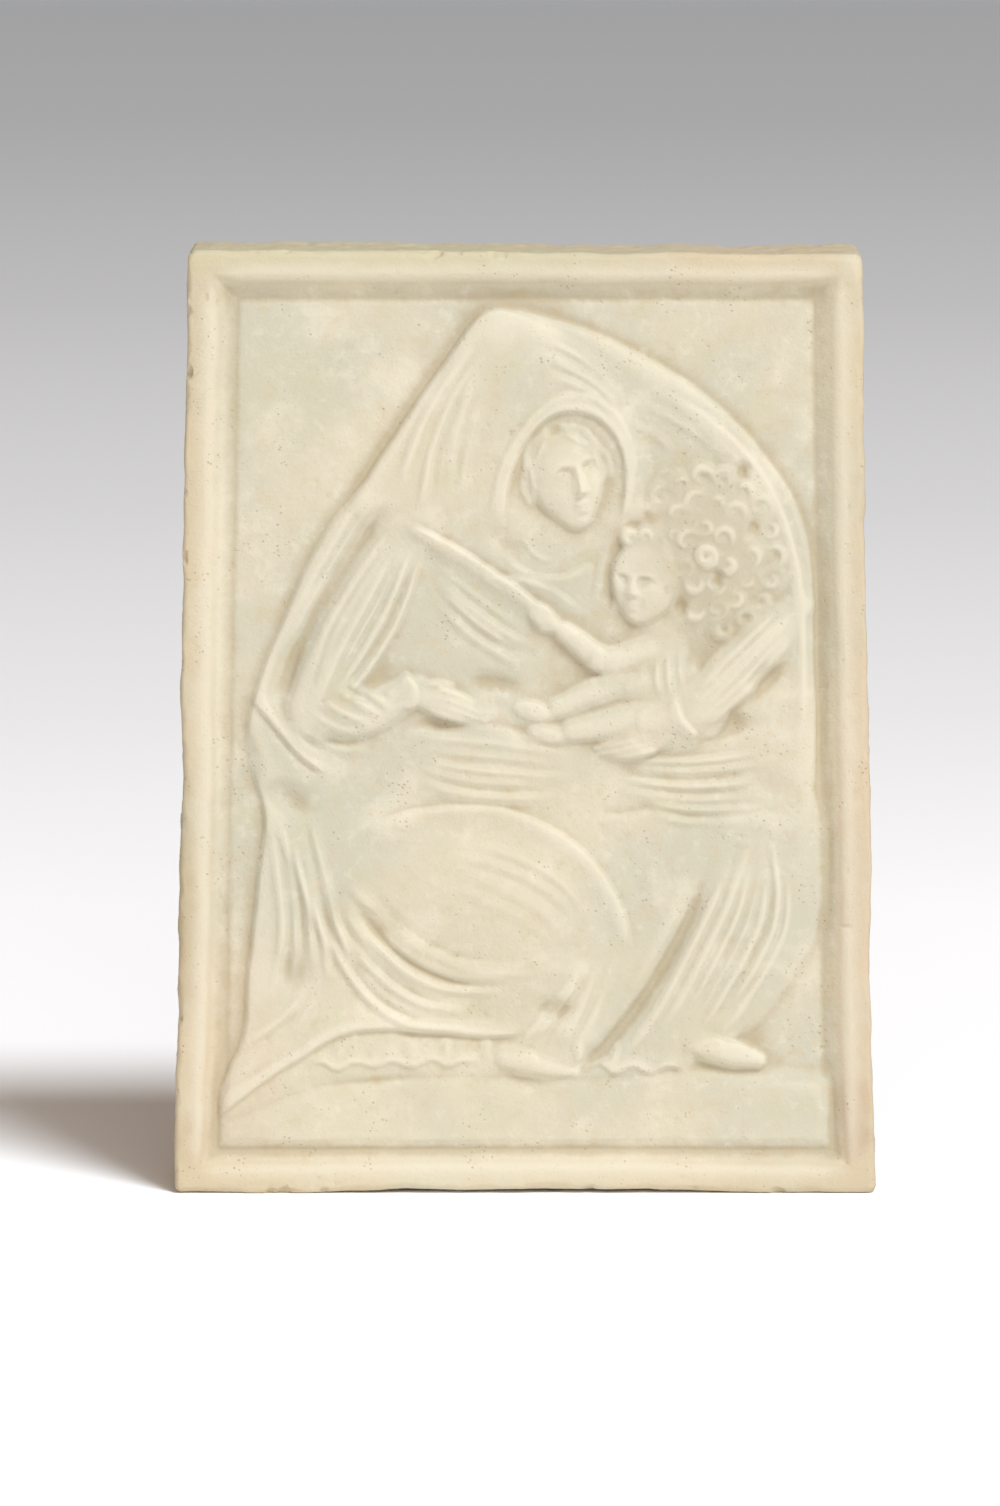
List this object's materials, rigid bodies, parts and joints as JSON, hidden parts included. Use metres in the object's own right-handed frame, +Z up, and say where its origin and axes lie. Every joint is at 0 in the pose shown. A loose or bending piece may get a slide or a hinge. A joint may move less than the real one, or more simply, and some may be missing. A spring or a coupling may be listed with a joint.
{
  "type": "stone relief panel",
  "caption": "Upright slab of pale stone with a plain raised border round a low relief of a seated hooded woman holding a curly-headed child.",
  "frame": {"origin": "middle of the underside's footprint, on the surface that the slab stands on", "axes": "+Z up the slab, +X to the viewer's right, and the carved front faces -Y"},
  "size_m": [0.298, 0.0599, 0.4],
  "materials": {
    "stone": "matt, weathered, with a tan patina at the edges"
  },
  "bodies": {
    "root": {"relief_panel": "stone"}
  },
  "joints": []
}
